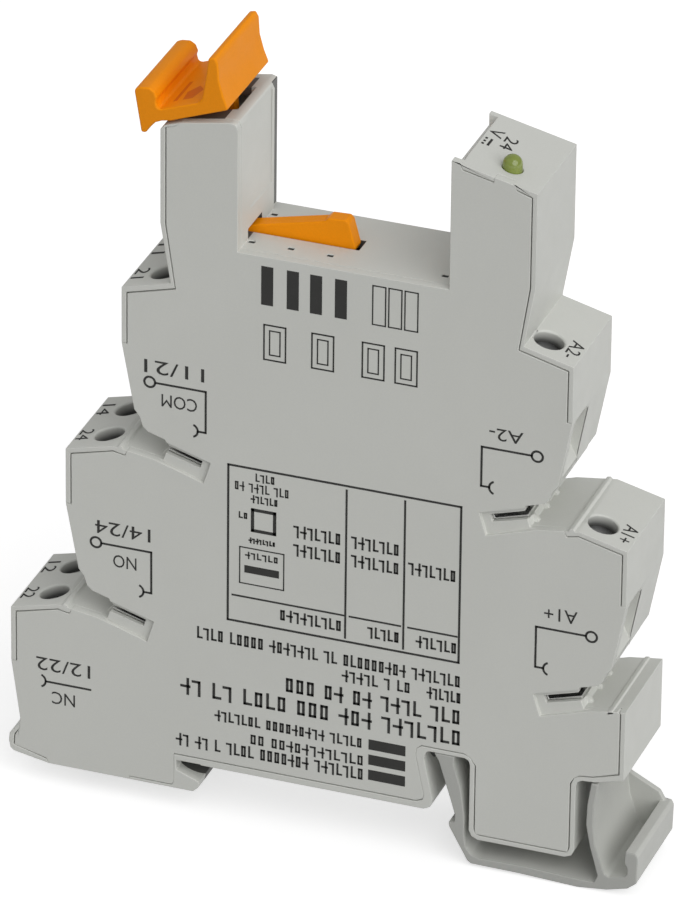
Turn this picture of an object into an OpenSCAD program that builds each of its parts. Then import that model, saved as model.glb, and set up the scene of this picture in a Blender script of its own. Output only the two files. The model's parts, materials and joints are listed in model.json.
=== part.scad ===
// Socket of a plug-in relay with two changeover contacts, for a 35 mm rail.
// X runs along the stepped profile, Y along the rail, Z away from the mounting plate.
// The origin is the middle of the face that rests on the rail.

/* [Case] */
// Width of the socket along the rail
case_w = 14; // [13:0.5:16]
// Place of the profile's line of symmetry beside the middle of the rail
sym_x = 3.3; // [2:0.1:5]
// Thickness of the front cover
cover_t = 1.2; // [1:0.1:1.5]
// Thickness of the rear wall
back_t = 1; // [0.8:0.1:1.5]
// Width of the rim around the cover
rim = 0.6; // [0.5:0.05:0.8]
// Width of the visible gap between rim and cover
seam = 0.14; // [0.1:0.01:0.2]
// Thickness of the partition between the two poles
partition_t = 1; // [0.8:0.1:1.2]

/* [Terminal tiers] */
// Distance of the top tier's corner from the line of symmetry
tier_x = 28.2; // [27:0.1:30]
// Height of the top tier's corner
tier_z = 63.3; // [62:0.1:65]
// Sideways step from one tier to the next
tier_step = 7.2; // [7:0.1:7.6]
// Height step from one tier to the next
tier_drop = 23.1; // [22.5:0.1:23.5]
// Tilt of the terminals
tilt = 14.5; // [12:0.5:16]

/* [Terminals] */
// Distance of each terminal from the middle of the width
pole_y = 3.4; // [3.3:0.05:3.5]
// Distance of the screw axis from the tier's corner
screw_in = 4.25; // [4:0.05:4.5]
// Radius of the screwdriver hole
driver_r = 1.85; // [1.8:0.05:1.95]
// Radius of the screw's thread
screw_r = 1.45; // [1.4:0.01:1.5]
// Lift of a clamp cage from open to shut
cage_lift = 2; // [1.5:0.1:2]
// Width of the square wire entry
wire_w = 3.1; // [2.8:0.1:3.2]

/* [Towers and bay] */
// Height of the bay's floor
bay_z = 70.6; // [70:0.1:72]
// Left wall of the bay
bay_x0 = -10.3; // [-11:0.1:-10]
// Right wall of the bay
bay_x1 = 16; // [15.8:0.1:17]
// Distance of the towers' outer walls from the line of symmetry
tower_x = 23.3; // [23:0.1:24]
// Spacing of the relay's contact pins
pin_pitch = 4.9; // [4.8:0.05:5]
// Place of the contact pins nearest to the coil pins
pin_x = 0.1; // [0:0.1:0.3]
// Place of the coil pins
coil_x = 14.4; // [14:0.1:14.6]
// Distance of the pins from the middle of the width
pin_y = 3.8; // [3.6:0.05:4]

/* [Rail fit] */
// Half the width of the rail
rail_half = 17.5; // [17.5:0.1:17.5]
// Thickness of the rail's lip
rail_t = 1; // [1:0.1:1]
// Depth of the catch under the rail's lip
catch = 0.45; // [0.35:0.05:0.5]

/* [Retaining lever] */
// Angle through which the lever closes
lever_swing = 10; // [8:0.5:10]
// Angle through which the ejector drops as the lever closes
ejector_swing = 16; // [14:0.5:16]

/* [Hidden] */

plastic = "#b6b7b1";
light_plastic = "#c2c3bd";
orange = "#e0841a";
steel = "#b9bcc0";
copper = "#c98a4b";
tin = "#d5d7da";

y_front = -case_w / 2;
y_back = case_w / 2;
y_cover = y_front + cover_t;
y_inner = y_back - back_t;
play = 0.05;

// Terminals: side (-1 left, 1 right), tier counted from the top, pole (-1 front, 1 rear).
T11 = [-1, 0, 1];
T21 = [-1, 0, -1];
T14 = [-1, 1, 1];
T24 = [-1, 1, -1];
T12 = [-1, 2, 1];
T22 = [-1, 2, -1];
TA1 = [1, 1, -1];
TA2 = [1, 0, -1];
TERMINALS = [T11, T21, T14, T24, T12, T22, TA1, TA2];

// ---------------------------------------------------------------- outline of the profile

function reversed(list) = [for (i = [len(list) - 1:-1:0]) list[i]];

// Corner of a tier as [distance from the line of symmetry, height].
function tier_corner(i) = [tier_x + i * tier_step, tier_z - i * tier_drop];

// Points given beside the line of symmetry, put on the left (-1) or the right (1).
function on_side(side, points) = [for (p = points) [sym_x + side * p.x, p.y]];

// Notch above a tier and the tier's own edge, from the tier above down to the edge's foot.
notch_outline = [
    [-8.8, 7.05], [-9.5, 6.15], [-9.9, 4.9], [-10.6, 4.3], [-12.75, 3.65], [-13, 2.65], [-12.3, 0.6],
    [-6, 1.5], [0, 0], [0, -7.4]
];
function tier_outline(i) = [for (p = notch_outline) tier_corner(i) + p];

// The same stretch of the cover, which leaves the rim free (r wide) from the notch to the foot.
function tier_cover(i, r) = [
    for (k = [0:6]) tier_corner(i) + notch_outline[k],
    for (p = [[-7.9, 1.23], [-7.6, 1.2 - r], [-6.1, 1.5 - r], [-r, 0.1 - r], [-r, -7.1 - r / 2], [0, -7.4]])
        tier_corner(i) + p
];

// The same stretch of the inside, one wall thickness in.
cavity_outline = [
    [-10.2, 8.1], [-11, 6], [-13.8, 5.1], [-14.5, 2.3], [-13.7, -0.75], [-6, 0.2], [-1.2, -1], [-1.2, -7.6]
];
function tier_cavity(i) = [for (p = cavity_outline) tier_corner(i) + p];

// Tower's outer wall and the top tier's own edge.
top_outline = [[tower_x, 72.7], [tower_x - 1.3, 64.9], [tier_x, tier_z], [tier_x, tier_z - 7.4]];
function top_cover(r) = [
    [tower_x - r, 72.6], [tower_x - 1.3 - r * 0.9, 64.95 - r],
    [tier_x - r, tier_z - r], [tier_x - r, tier_z - 7.1 - r / 2], [tier_x, tier_z - 7.4]
];
top_cavity = [
    [tower_x - 1.2, 72.9], [tower_x - 2.6, 63.8], [tier_x - 1.2, tier_z - 1], [tier_x - 1.2, tier_z - 7.6]
];

// Tops of the two towers, from the outer wall inwards.
inner_corner = [[-11.3, 87.3], [-10.6, 87.1], [bay_x0, 86.4]];
left_tower_top = concat(
    [[sym_x - tower_x, 85], [sym_x - tower_x + 0.6, 85.6], [-17.5, 86.2]], inner_corner
);
right_tower_top = [[sym_x + tower_x, 84.95], [bay_x1, 87.4]];
function left_top_cover(r) = concat(
    [[sym_x - tower_x + r, 85.3], [-18.2, 85.6], [-17.5, 86.2]], inner_corner
);
// The cover's top edge steps up to the surface in front of the light guide.
function right_top_cover(r) = [
    [sym_x + tower_x - r, 85 - r], [24, 85.65 - r], [24, 85.55], [21.3, 86.18],
    [21.2, 86.2 - r], [17.35, 87.1 - r], [17.1, 87.14], [bay_x1, 87.4]
];
bay_outline = [[bay_x0, bay_z], [bay_x1, bay_z]];

// Bottom, from the left edge to the right one.
belly_x0 = 19.65;
belly_x1 = 33;
belly_z = -2.85;
slot_z = 8.1;
hook_z = -3.85;
bottom_outline = [
    [-38.2, 1.8], [-38.3, 1], [-39.6, -0.6], [-39.7, -1.6], [-39.5, -2.6], [-39, -3], [-34.5, hook_z],
    [-15.7, hook_z], [-15, -3.2], [-14.9, -2.4], [-rail_half - 0.4, -rail_t - 0.25], [-rail_half - 0.4, 0.1],
    [-14.7, 0.1], [-14.7, 0], [13.9, 0], [14.7, 0.4], [15, 1.5],
    [13.8, 7], [14.1, 7.9], [14.5, slot_z], [19, slot_z], [19.5, 7.8], [belly_x0, 7.2],
    [belly_x0, -1.7], [20, -2.5], [20.8, belly_z], [31.85, belly_z], [32.65, -2.5], [belly_x1, -1.7],
    [belly_x1, 7.2], [33.2, 7.8], [33.8, slot_z], [35.4, 8.2], [39, 9.2]
];
function bottom_cover(r) = [
    [-38.2, 1.8], [-38.3, 0.3], [-39.6 + r, -0.7], [-39.7 + r, -2.1],
    [-34.8, hook_z + r - 0.05], [-34.5, hook_z],
    [-24, hook_z], [-24, hook_z + r * 0.6], [-18.5, hook_z + r * 0.6], [-rail_half - 0.7, -3],
    [-rail_half - 0.7, r + 0.25], [12.9, r + 0.25], [13.7, r + 0.6], [13.9, 1.9],
    [12.75, 7.4], [12.9, 8.2], [13.5, slot_z + r - 0.1], [18.9, slot_z + r - 0.1], [19.7, 8.3],
    [belly_x0 + r, 7.3], [belly_x0 + r, -1.5], [20.5, -2.1], [21, belly_z + r],
    [31.7, belly_z + r], [32.15, -2.1], [belly_x1 - r, -1.5],
    [belly_x1 - r, 7.4], [32.8, 8.3], [33.5, slot_z + r - 0.1], [35.2, 8.2 + r], [39 - r, 9.2 + r]
];
bottom_cavity = [
    [-37, 1.8], [-37.1, -2.6], [-19.2, -2.6], [-19.2, 1.2], [12.7, 1.2], [13.5, 2], [12.4, 7.4], [13, 9.2],
    [19.5, 9.2], [20.85, 8], [20.85, -1.7], [31.8, -1.7], [31.8, 8], [33, 9.4], [37.8, 10.4]
];

// Lowest tier: full on the left, cut off at right_x on the right.
right_x = 39;
right_z = tier_corner(2).y + 1.4;
function cut_right(points) = [for (p = points) if (sym_x + p.x < right_x) p];

profile = concat(
    bottom_outline,
    [[right_x, right_z]],
    on_side(1, reversed(cut_right(tier_outline(2)))),
    on_side(1, reversed(tier_outline(1))),
    on_side(1, reversed(top_outline)),
    right_tower_top, reversed(bay_outline), reversed(left_tower_top),
    on_side(-1, top_outline), on_side(-1, tier_outline(1)), on_side(-1, tier_outline(2))
);
function cover_profile(r) = concat(
    bottom_cover(r),
    [[right_x - r, right_z - 0.3], [right_x - r - 0.3, right_z - 0.1]],
    on_side(1, reversed([for (k = [0:6]) tier_corner(2) + notch_outline[k]])),
    on_side(1, reversed(tier_cover(1, r))),
    on_side(1, reversed(top_cover(r))),
    right_top_cover(r), reversed(bay_outline), reversed(left_top_cover(r)),
    on_side(-1, top_cover(r)), on_side(-1, tier_cover(1, r)), on_side(-1, tier_cover(2, r))
);
body_cavity = concat(
    bottom_cavity,
    [[right_x - 1.2, right_z - 1.2]],
    on_side(1, reversed([for (k = [0:4]) tier_corner(2) + cavity_outline[k]])),
    on_side(1, reversed(tier_cavity(1))),
    on_side(1, reversed(top_cavity)),
    [[sym_x + tower_x - 1.2, 83.9], [bay_x1 + 1.2, 85.9], [bay_x1 + 1.2, bay_z - 1.2],
     [bay_x0 - 1.2, bay_z - 1.2], [bay_x0 - 1.2, 89], [sym_x - tower_x + 1.2, 89]],
    on_side(-1, top_cavity), on_side(-1, tier_cavity(1)), on_side(-1, tier_cavity(2))
);

// ---------------------------------------------------------------- helpers

// Prism of a profile drawn in the X-Z plane, from y0 to y1.
module slab(points, y0, y1) {
    translate([0, y1, 0]) rotate([90, 0, 0]) linear_extrude(y1 - y0) polygon(points);
}

// Round bar along Y.
module rod_y(x, z, r, y0, y1) {
    translate([x, y1, z]) rotate([90, 0, 0]) cylinder(r = r, h = y1 - y0, $fn = 48);
}

// Box from corner a to corner b.
module block(a, b) {
    translate(a) cube(b - a);
}

// Middle of a terminal's screwdriver hole on its tier.
function terminal_at(t) = let (c = tier_corner(t[1]))
    [sym_x + t[0] * (c.x - screw_in), t[2] * pole_y, c.y + screw_in * tan(tilt)];

// Terminal frame: +Z out along the screw, +X out along the wire.
module at_terminal(t) {
    translate(terminal_at(t)) rotate([0, 0, t[0] < 0 ? 180 : 0]) rotate([0, tilt, 0]) children();
}

// Outline of a strip of width w that follows a path in the X-Z plane with mitred corners.
function unit(v) = v / norm(v);
function side_of(v) = [-v.y, v.x];
function mitre(path, i, half) =
    let (a = unit(path[min(i + 1, len(path) - 1)] - path[min(i, len(path) - 2)]),
         b = unit(path[max(i, 1)] - path[max(i - 1, 0)]),
         n = side_of(a) + side_of(b))
    path[i] + n * (2 * half / (n * n));
function strip(path, w) = concat(
    [for (i = [0:len(path) - 1]) mitre(path, i, w / 2)],
    [for (i = [len(path) - 1:-1:0]) mitre(path, i, -w / 2)]
);

// ---------------------------------------------------------------- terminals

head_top = -1.5;
head_t = 1.6;
lip_z = head_top - head_t - play;
lip_t = 0.4;
bar_top = -6.9;
bar_t = 0.8;
cage_z0 = -11.9;
cage_z1 = lip_z - lip_t - 0.1 - cage_lift;
cage_x = 2.3;
cage_y = 2.1;
wire_z = -9.3;
funnel_x = 2.8;

// Screwdriver hole with the lip that holds the screw in.
module driver_hole() {
    rim_cut = 0.2;
    rim_r = driver_r + 2 * rim_cut;
    translate([0, 0, lip_z]) cylinder(r = driver_r, h = 8, $fn = 48);
    translate([0, 0, -rim_cut]) cylinder(r1 = driver_r, r2 = rim_r, h = 2 * rim_cut, $fn = 48);
    translate([0, 0, lip_z - lip_t - 1]) cylinder(r = screw_r + 0.12, h = 3, $fn = 48);
}

module driver_tube() {
    translate([0, 0, lip_z - lip_t]) cylinder(r = 2.3, h = -lip_z + lip_t - 0.4, $fn = 48);
}

module funnel_block() {
    block([funnel_x, -2.3, wire_z - 2.1], [6, 2.3, wire_z + 2.1]);
}

// Wire entry: square hole that widens to a funnel at the outside.
function funnel_outline(half, mouth) = [
    [funnel_x - 1, -half], [4.6, -half], [6.6, -mouth], [8.5, -mouth],
    [8.5, mouth], [6.6, mouth], [4.6, half], [funnel_x - 1, half]
];
module wire_entry() {
    translate([0, 0, wire_z]) intersection() {
        slab(funnel_outline(wire_w / 2, 1.85), -4, 4);
        translate([0, 0, -4]) linear_extrude(8) polygon(funnel_outline(wire_w / 2, 2.1));
    }
}

// Trough below the wire entry in the slanted face under a tier, and the plastic behind it.
mouth_outline = [[1, -7.9], [-0.2, -8.2], [-1.7, -9.6], [-2.5, -13.2], [-1.5, -15.3], [1, -15.5]];
mouth_backing = [[-0.6, -7.8], [-2.8, -8.6], [-3.6, -13.6], [-2.8, -15.2], [-1.4, -15.4]];
mouth_half = 2.7;
mouth_wall = 0.15;
function mouth_y(t, grow) = [for (s = [-1, 1]) t[2] * pole_y + s * (mouth_half + grow)];

module clamp_screw(t) {
    slot_w = 0.5;
    color(steel) at_terminal(t) difference() {
        union() {
            translate([0, 0, lip_z + play]) cylinder(r = driver_r - 0.12, h = head_t, $fn = 48);
            translate([0, 0, bar_top + 0.05]) cylinder(r = screw_r, h = lip_z + 0.2 - bar_top, $fn = 48);
        }
        block([-3, -slot_w / 2, head_top - 0.7], [3, slot_w / 2, head_top + 1]);
    }
}

module clamp_cage(t) {
    wall = 0.7;
    color(steel) at_terminal(t) difference() {
        block([-cage_x, -cage_y, cage_z0], [cage_x, cage_y, cage_z1]);
        block([-cage_x - 1, -cage_y + wall, cage_z0 + 0.8], [cage_x + 1, cage_y - wall, cage_z1 - 1]);
        bore_z = bar_top - cage_lift;
        translate([0, 0, bore_z]) cylinder(r = screw_r + play, h = cage_z1 + 1 - bore_z, $fn = 48);
    }
}

// ---------------------------------------------------------------- housing

// Shallow pocket and slot of a bridge contact, cut in the plane beside a notch.
pocket_outline = [[-10.4, 1], [-17.6, -1.3], [-18.5, 1.6], [-11.9, 3.6]];
slot_outline = [[-12.4, 2.85], [-17.3, 1.4], [-17, 0.45], [-12.1, 1.8]];
blade_outline = [[-12.1, 3.2], [-15.2, 2.3], [-15, 0.78], [-11.9, 1.67]];
// Low ridge on a notch's floor, in front of the tier, and the guides at the mouth of its slot.
ridge_outline = [[-7.5, 1], [-7.3, 1.6], [-6.8, 1.7], [-6.5, 1.3]];
low_ridge_outline = [for (p = ridge_outline) p - [1.8, 0.35]];
guide_outline = [[-13.2, 1.4], [-12.5, 1.5], [-11.8, 0.9], [-11.7, 0.4], [-13, 0.4]];
function beside(side, i, points) = on_side(side, [for (p = points) tier_corner(i) + p]);

BRIDGES = [[-1, 1], [-1, 2], [1, 1], [1, 2]];
pocket_d = 0.5;

// Step in the top of the right tower and the hook behind it, where a relay's edge is held.
relay_step = [[bay_x1 - 1, 85.9], [bay_x1, 85.9], [bay_x1 + 1.1, 86.6], [bay_x1 + 1.1, 89], [bay_x1 - 1, 89]];

light_x = 22.3;
light_y = -3.5;
light_r = 1.2;
board_y = -2.2;
board_t = 1;
board_hole_x = 19;
board_holes = [68, 72];

// Roof of the left tower, and the strip of it that runs on past the lever's cheeks.
roof_outline = [
    [-19.2, 84.9], [-19.2, 85.6], [-17.5, 86.2], [-11.3, 87.3], [-11, 87.2], [-11, 86.4], [-17.3, 85.3]
];
roof_strip = [[-11.85, 86.3], [-11.85, 87.2], [-11.3, 87.3], [-11, 87.2], [-11, 86.4]];

lever_pivot = [-15.7, 76];
cheek_y0 = 1.5;
cheek_y1 = 2.9;
toe_arm = 3.1;
link_x = lever_pivot.x + toe_arm;
tail_arm = toe_arm * sin(lever_swing / 2) / sin(ejector_swing / 2);
ejector_pivot = [link_x - tail_arm, 69.4];

function pin_places() = [
    [pin_x - 2 * pin_pitch, 1], [pin_x - pin_pitch, 1], [pin_x, 1], [coil_x, 1],
    [pin_x - 2 * pin_pitch, -1], [pin_x - pin_pitch, -1], [pin_x, -1], [coil_x, -1]
];

module pin_slots() {
    for (p = pin_places())
        block([p[0] - 0.4, p[1] * pin_y - 0.3, bay_z - 3], [p[0] + 0.4, p[1] * pin_y + 0.3, bay_z + 1]);
}

module housing_shell() {
    slab(profile, y_inner, y_back);
    difference() {
        slab(profile, y_cover, y_inner + 0.5);
        slab(body_cavity, y_cover - 1, y_inner);
    }
    difference() {
        slab(profile, y_front, y_cover + 0.5);
        slab(cover_profile(rim), y_front - 1, y_cover + 1);
    }
}

module housing() {
    color(plastic) difference() {
        union() {
            housing_shell();
            for (t = TERMINALS) {
                at_terminal(t) {
                    driver_tube();
                    funnel_block();
                }
                y = mouth_y(t, mouth_wall);
                slab(beside(t[0], t[1], mouth_backing), max(y_cover, y[0]), y[1]);
            }
            // bosses that carry the two pivot pins
            rod_y(lever_pivot.x, lever_pivot.y, 1.9, y_inner - 1.6, y_inner + 0.2);
            rod_y(ejector_pivot.x, ejector_pivot.y, 1.9, y_inner - 3.2, y_inner + 0.2);
            // ribs under the floor, either side of the ejector
            for (y = [-2.5, 1.9]) block([bay_x0 - 1, y, bay_z - 1.8], [bay_x1 + 1, y + 0.6, bay_z - 1]);
            for (b = BRIDGES) {
                slab(beside(b[0], b[1], b == [1, 2] ? low_ridge_outline : ridge_outline), y_front, y_back);
                for (y = [-4.9, -1.4, 2.1]) slab(beside(b[0], b[1], guide_outline), y, y + 0.7);
            }
            // roof of the left tower, open between the lever's cheeks and the link
            slab(roof_outline, y_cover, -cheek_y1 - 0.2);
            slab(roof_outline, cheek_y1 + 0.2, y_inner + 0.2);
            slab(roof_strip, y_cover, y_inner + 0.2);
            for (z = board_holes) {
                rod_y(board_hole_x, z, 1.1, board_y + board_t, y_inner + 0.2);
                rod_y(board_hole_x, z, 0.5, board_y - 0.3, y_inner);
            }
        }
        for (t = TERMINALS) {
            at_terminal(t) {
                driver_hole();
                wire_entry();
            }
            y = mouth_y(t, 0);
            slab(beside(t[0], t[1], mouth_outline), y[0], y[1]);
        }
        pin_slots();
        // slot of the ejector, through the tower's wall and the floor, and the window beside it
        block([bay_x0 - 1.3, -1.35, bay_z - 1.5], [bay_x0 + 1, 1.35, 71.95]);
        block([bay_x0 - 1.3, -3.4, bay_z], [bay_x0 + 1, -1.35, 71.95]);
        block([bay_x0 - 1.3, -1.35, bay_z - 1.5], [2.8, 1.35, bay_z + 1]);
        slab(relay_step, y_cover - 0.1, y_back - 0.8);
        // shallow panel in the left tower's inner wall and the rebate at its rear edge
        block([bay_x0 - 0.15, -2.7, 74.4], [bay_x0 + 1, 4.6, 90]);
        block([bay_x0 - 0.3, y_back - 1.7, bay_z], [bay_x0 + 1, y_back + 1, 90]);
        translate([light_x, light_y, 80]) cylinder(r = light_r + play, h = 10, $fn = 48);
        rod_y(lever_pivot.x, lever_pivot.y, 1, y_inner - 2, y_inner + 0.4);
        rod_y(ejector_pivot.x, ejector_pivot.y, 0.8, y_inner - 4, y_inner + 0.4);
        for (b = BRIDGES) {
            slab(beside(b[0], b[1], pocket_outline), y_back - pocket_d, y_back + 1);
            slab(beside(b[0], b[1], slot_outline), y_inner - 1, y_back + 1);
            slab(beside(b[0], b[1], blade_outline), y_cover - 0.1, -1.5);
        }
    }
}

module front_cover() {
    color(light_plastic) difference() {
        union() {
            slab(cover_profile(rim + seam), y_front, y_cover - 0.02);
            rod_y(lever_pivot.x, lever_pivot.y, 1.9, y_cover - 0.2, y_cover + 1.6);
            rod_y(ejector_pivot.x, ejector_pivot.y, 1.9, y_cover - 0.2, y_cover + 3.2);
        }
        for (b = BRIDGES) {
            slab(beside(b[0], b[1], pocket_outline), y_front - 1, y_front + pocket_d);
            slab(beside(b[0], b[1], slot_outline), y_front - 1, y_cover + 1);
        }
        rod_y(lever_pivot.x, lever_pivot.y, 1, y_cover - 0.4, y_cover + 2);
        rod_y(ejector_pivot.x, ejector_pivot.y, 0.8, y_cover - 0.4, y_cover + 4);
    }
}

partition_outline = [
    [-36, -1.5], [-20, -1.5], [-20, 1.8], [12, 1.8], [12, 10], [32, 10], [36.8, 11.2], [36.8, 16.2],
    [27, 15], [24, 22], [33, 33], [34, 38], [25, 39], [22, 45], [25, 50], [12, 56], [4, 64], [-16, 64],
    [-21, 62], [-21, 52], [-16, 45], [-18, 39], [-29, 38], [-29, 31], [-24, 22], [-25, 16], [-36, 15]
];

module center_partition() {
    color(light_plastic) slab(partition_outline, -partition_t / 2, partition_t / 2);
}

// ---------------------------------------------------------------- rail foot

foot_z = slot_z - 0.08;
catch_x = rail_half - catch;
lip_x = 39.5;
foot_outline = [
    // catch arm, down its outer side
    [15.1, foot_z], [15.7, 7], [17.2, 2.2], [rail_half + 0.35, 0], [rail_half + 0.3, -rail_t - 0.05],
    [catch_x, -rail_t - 0.12], [catch_x + 0.1, -1.75], [18.4, -4], [19.5, -6], [20, -6.35],
    // strip under the belly
    [26, -6.4], [33.5, -6.7], [37.2, -6.3], [39.8, -5.6], [lip_x + 1.4, -4.7],
    // outer lip of the release lever
    [lip_x + 1.5, -1.2], [lip_x + 1.2, -0.6], [lip_x - 0.1, -0.6], [lip_x - 0.15, -2.2], [lip_x + 0.2, -2.7],
    [lip_x + 0.2, -3.6], [lip_x - 0.1, -4.1], [37.4, -4.5],
    // rear arm, up its inner side and down its outer one
    [36.9, -4.2], [35.6, -0.4], [35.3, 2], [35.35, 5], [35.8, foot_z - 0.05],
    [34.95, foot_z - 0.05], [34.5, 5], [34.4, 2.2], [34.9, -0.6], [36, -4.6], [35.6, -5.6],
    // top of the strip and up the catch arm's inner side
    [34, -5.6], [27, -5.3], [21, -5.4], [20, -5.1], [19.3, -4.2],
    [19.05, -2.5], [19.05, 0], [18.6, 3.5], [17.6, 7], [17.7, foot_z]
];
web_outline = [
    [35.4, 2.6], [39.3, 0.6], [lip_x + 0.6, -0.8], [lip_x + 0.5, -4.2], [36.4, -4.8], [35.2, -0.5], [35, 2]
];

module rail_foot() {
    color(plastic) union() {
        slab(foot_outline, y_front, y_back);
        slab(web_outline, y_back - 0.9, y_back - 0.1);
    }
}

// ---------------------------------------------------------------- retaining lever and ejector

// Toe pin of the lever and tail pin of the link, at the start of their swings.
function swung(pivot, arm, angle) = pivot + arm * [cos(angle), sin(angle)];
toe = swung(lever_pivot, toe_arm, lever_swing / 2);
tail = swung(ejector_pivot, tail_arm, ejector_swing / 2);
link_pin_r = 0.5;

lever_outline = [
    [-22.45, 84.1], [-21.9, 84.05], [-21.4, 84.8], [-20.7, 85.6], [-19.9, 85.95], [-18.6, 86.2],
    [-17.2, 86.75], [-11.9, 88.7], [-11.6, 88.9], [-12.2, 90.4], [-12.75, 92.4], [-12.9, 94.6],
    [-13.3, 95.3], [-14.1, 95.1], [-14.5, 92], [-14.9, 89.7], [-15.4, 89.1],
    [-19.9, 87.5], [-20.4, 87.5], [-20.65, 88.4], [-20.45, 88.8], [-20.8, 89.6], [-21.5, 90], [-22.5, 89.9],
    [-23.2, 89.6], [-23.3, 89.2]
];
cheek_outline = [
    [-18, 87.2], [-18, 84.6], [-17.5, 77], [-16.6, 74.4], [-14.8, 74.4], [-12.6, 75.3], [-11.75, 75.9],
    [-11.75, 77], [-12.6, 77.4], [-13.6, 80], [-14, 88.9]
];

module retaining_lever() {
    y_end = y_back - 0.1;
    color(orange) difference() {
        union() {
            slab(lever_outline, -y_end, y_end);
            slab(cheek_outline, -cheek_y1, -cheek_y0);
            slab(cheek_outline, cheek_y0, cheek_y1);
            rod_y(toe.x, toe.y, link_pin_r, -2, 2);
        }
        rod_y(lever_pivot.x, lever_pivot.y, 1 + play, -5, 5);
    }
}

module lever_pin() {
    color(steel) rod_y(lever_pivot.x, lever_pivot.y, 1, y_cover - 0.35, y_inner + 0.35);
}

module ejector_pin() {
    color(steel) rod_y(ejector_pivot.x, ejector_pivot.y, 0.8, y_cover - 0.35, y_inner + 0.35);
}

ejector_outline = [
    [-15.6, 67.9], [-11.4, 67.8], [-4, 69], [2, 69.9], [2.25, 70.5], [1.4, 73.6], [1, 74],
    [-1.2, 73.9], [-1.7, 73.4], [-11.2, 71.2], [-15.2, 71.1], [-16.1, 70.2], [-16.2, 68.8]
];

module ejector_lever() {
    color(orange) difference() {
        slab(ejector_outline, -1.05, 1.05);
        rod_y(ejector_pivot.x, ejector_pivot.y, 0.8 + play, -3, 3);
        for (dx = [-0.12, 0.12]) rod_y(tail.x + dx, tail.y, link_pin_r + 0.1, -3, 3);
        block([tail.x - 0.12, -3, tail.y - link_pin_r - 0.1], [tail.x + 0.12, 3, tail.y + link_pin_r + 0.1]);
    }
}

module ejector_link() {
    half = 0.9;
    fork_in = 1.25;
    fork_out = 2.05;
    yoke_z0 = tail.y + 2.2;
    yoke_z1 = tail.y + 3;
    color(orange) difference() {
        union() {
            block([link_x - half, -fork_in, yoke_z0], [link_x + half, fork_in, toe.y + 1]);
            block([link_x - half, -fork_out, tail.y - 0.9], [link_x + half, -fork_in, yoke_z1]);
            block([link_x - half, fork_in, tail.y - 0.9], [link_x + half, fork_out, yoke_z1]);
            rod_y(tail.x, tail.y, link_pin_r, -1.6, 1.6);
        }
        rod_y(toe.x, toe.y, link_pin_r + 0.06, -3, 3);
    }
}

// ---------------------------------------------------------------- indicator and circuit board

module light_guide() {
    z0 = 84.2;
    z1 = 86.5;
    color("#8f9a3a") {
        translate([light_x, light_y, z0]) cylinder(r = light_r, h = z1 - z0, $fn = 48);
        translate([light_x, light_y, z1]) rotate_extrude($fn = 48)
            intersection() {
                circle(r = light_r, $fn = 48);
                translate([0, -0.01]) square(light_r + 1);
            }
    }
}

module lamp() {
    color("#e8e8d8") {
        block([light_x - 1, light_y - 0.9, 81.8], [light_x + 1, board_y, 83.2]);
        translate([light_x, light_y, 83.2]) cylinder(r = 0.75, h = 0.5, $fn = 32);
    }
}

board_outline = [[17.6, 66], [22.6, 66], [24.6, 70], [25, 73.5], [25, 83.2], [17.6, 83.2]];
module circuit_board() {
    color("#3d6b4a") difference() {
        slab(board_outline, board_y, board_y + board_t);
        for (z = board_holes) rod_y(board_hole_x, z, 0.55, board_y - 1, board_y + 2);
    }
}

module rectifier() {
    color("#2a2b2c") {
        block([18.6, board_y - 2, 76], [22.6, board_y, 80.4]);
        for (x = [19.2, 21.4], z = [75.2, 80.4])
            block([x, board_y - 0.5, z], [x + 0.6, board_y, z + 0.8]);
    }
}

module resistors() {
    color("#3a3a3c") for (z = [68.2, 70.4, 72.6])
        block([20.4, board_y - 0.7, z], [23.2, board_y, z + 1.4]);
}

// ---------------------------------------------------------------- busbars and contacts

fork_z0 = 62.6;
fork_base = 0.5;
bar_sheet = 0.6;

// Flat tab that lies in the clamp cage, and the sheet strip that leaves it.
// layer is the strip's distance from the middle, path its route to the relay contact.
module busbar(t, layer, path) {
    tab_in = -5.2;
    half = cage_y - 0.7 - 0.15;
    pole = t[2];
    y0 = pole * layer - bar_sheet / 2;
    color(copper) {
        at_terminal(t) block([tab_in, -half, bar_top - bar_t], [1.9, half, bar_top]);
        slab(strip(path, 2), y0, y0 + bar_sheet);
    }
}

// Place inside a terminal's inner end of the tab, in the X-Z plane.
function tab_end(t) = let (o = terminal_at(t), p = -4.4, q = bar_top - bar_t / 2)
    [o.x + t[0] * (p * cos(tilt) + q * sin(tilt)), o.z - p * sin(tilt) + q * cos(tilt)];

// Sprung relay contact: a base plate and two leaves that grip the pin.
module relay_contact(x, pole, reach) {
    gap = 0.25;
    leaf = 0.3;
    y_out = pin_y + gap + leaf;
    y0 = pole > 0 ? reach : -y_out;
    y1 = pole > 0 ? y_out : -reach;
    base_z = fork_z0 + fork_base;
    leaf_outline = [
        [x - 0.9, base_z], [x + 0.9, base_z], [x + 0.9, 67], [x + 0.5, 68.8], [x - 0.5, 68.8], [x - 0.9, 67]
    ];
    color(tin) {
        block([x - 0.9, y0, fork_z0], [x + 0.9, y1, base_z]);
        for (s = [-1, 1]) {
            y_leaf = pole * pin_y + s * (gap + leaf / 2);
            slab(leaf_outline, y_leaf - leaf / 2, y_leaf + leaf / 2);
        }
    }
}

// Bridge contact: two leaves behind the slot that grip a bridge pin.
module bridge_contact(b) {
    fork = [
        [-12.85, 1.88], [-16.9, 0.65], [-17.2, 1.35], [-13.15, 2.48], [-13.05, 2.83], [-17.6, 1.5],
        [-17.9, 1.1], [-17.6, 0.2], [-17, 0.3], [-12.75, 1.53]
    ];
    color(tin) slab(beside(b[0], b[1], fork), y_cover + play, -1.6);
}

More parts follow.
